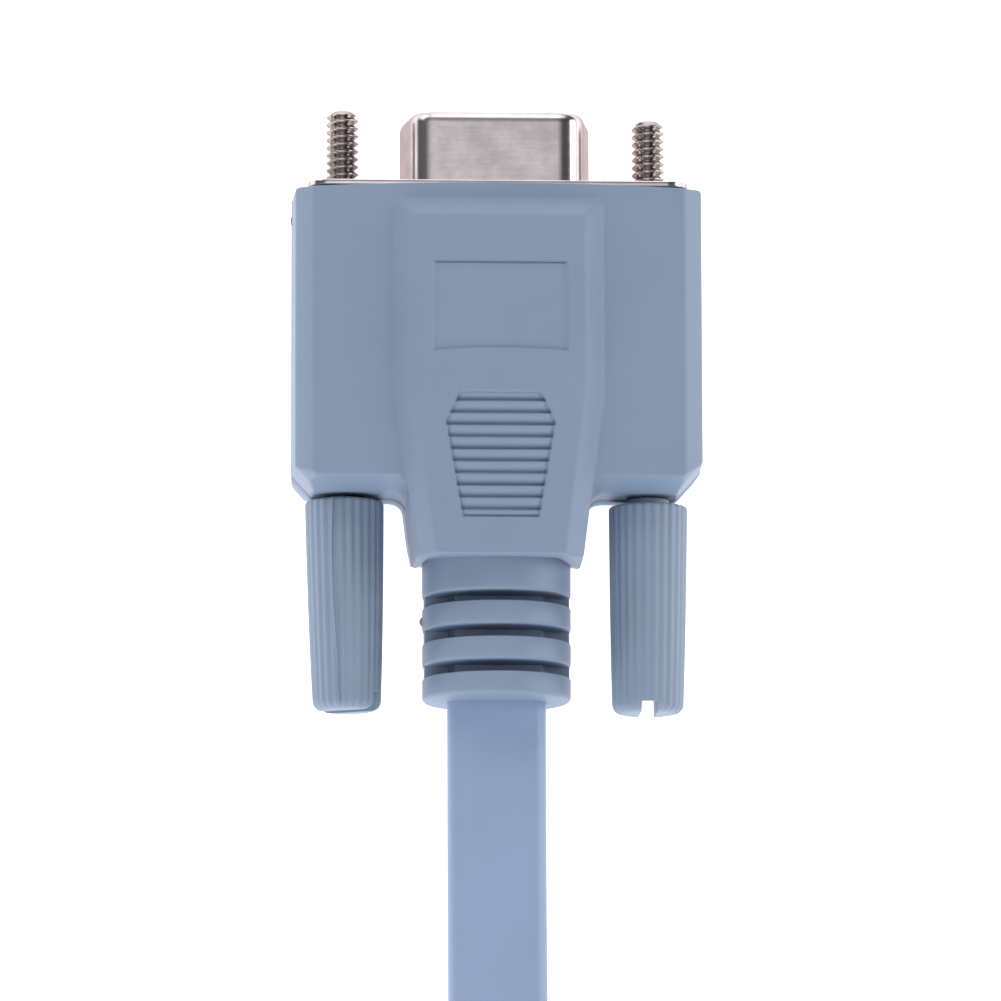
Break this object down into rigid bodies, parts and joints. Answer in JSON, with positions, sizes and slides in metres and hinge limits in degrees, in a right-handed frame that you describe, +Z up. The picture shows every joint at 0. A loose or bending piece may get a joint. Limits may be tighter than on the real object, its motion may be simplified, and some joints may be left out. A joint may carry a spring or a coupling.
{
  "type": "rj45 console cable",
  "caption": "Flat network console cable with a moulded D connector on thumbscrews at one end and a modular plug at the other, its spare length tied in a hank.",
  "frame": {"origin": "centre of the connector's bounding box, at its bottom, on the surface that it lies on", "axes": "+Y from the cable's end of the connector towards its collar, +Z up, +X to the connector's right seen from above with the collar away from the viewer"},
  "size_m": [0.0587, 0.2541, 0.0162],
  "materials": {
    "hood_pvc": "satin moulded PVC, grey-blue",
    "nickel": "nickel-plated steel",
    "insulator_black": "moulded, black",
    "gold": "gold-flashed",
    "cable_pvc": "smooth extruded PVC, light grey-blue",
    "tie_black": "soft PVC, black",
    "clear_plastic": "clear polycarbonate"
  },
  "bodies": {
    "connector": {"hood": "hood_pvc", "front_shell": "nickel", "insulator": "insulator_black", "contact_1": "gold", "contact_2": "gold", "contact_3": "gold", "contact_4": "gold", "contact_5": "gold", "contact_6": "gold", "contact_7": "gold", "contact_8": "gold", "contact_9": "gold", "cable_run": "cable_pvc", "cable_hank": "cable_pvc", "hank_tie": "tie_black", "cable_tail": "cable_pvc", "plug_body": "clear_plastic", "plug_contact_1": "gold", "plug_contact_2": "gold", "plug_contact_3": "gold", "plug_contact_4": "gold", "plug_contact_5": "gold", "plug_contact_6": "gold", "plug_contact_7": "gold", "plug_contact_8": "gold"},
    "thumbscrew_left": {"screw_left": "nickel", "grip_left": "hood_pvc"},
    "thumbscrew_right": {"screw_right": "nickel", "grip_right": "hood_pvc"}
  },
  "joints": [
    {"name": "left_thumbscrew_turn", "type": "hinge", "parent": "connector", "child": "thumbscrew_left", "pos_m": [-0.01249, -0.007, 0.0081], "axis": [0, 1, 0], "continuous": true},
    {"name": "right_thumbscrew_turn", "type": "hinge", "parent": "connector", "child": "thumbscrew_right", "pos_m": [0.01249, -0.007, 0.0081], "axis": [0, 1, 0], "continuous": true}
  ]
}
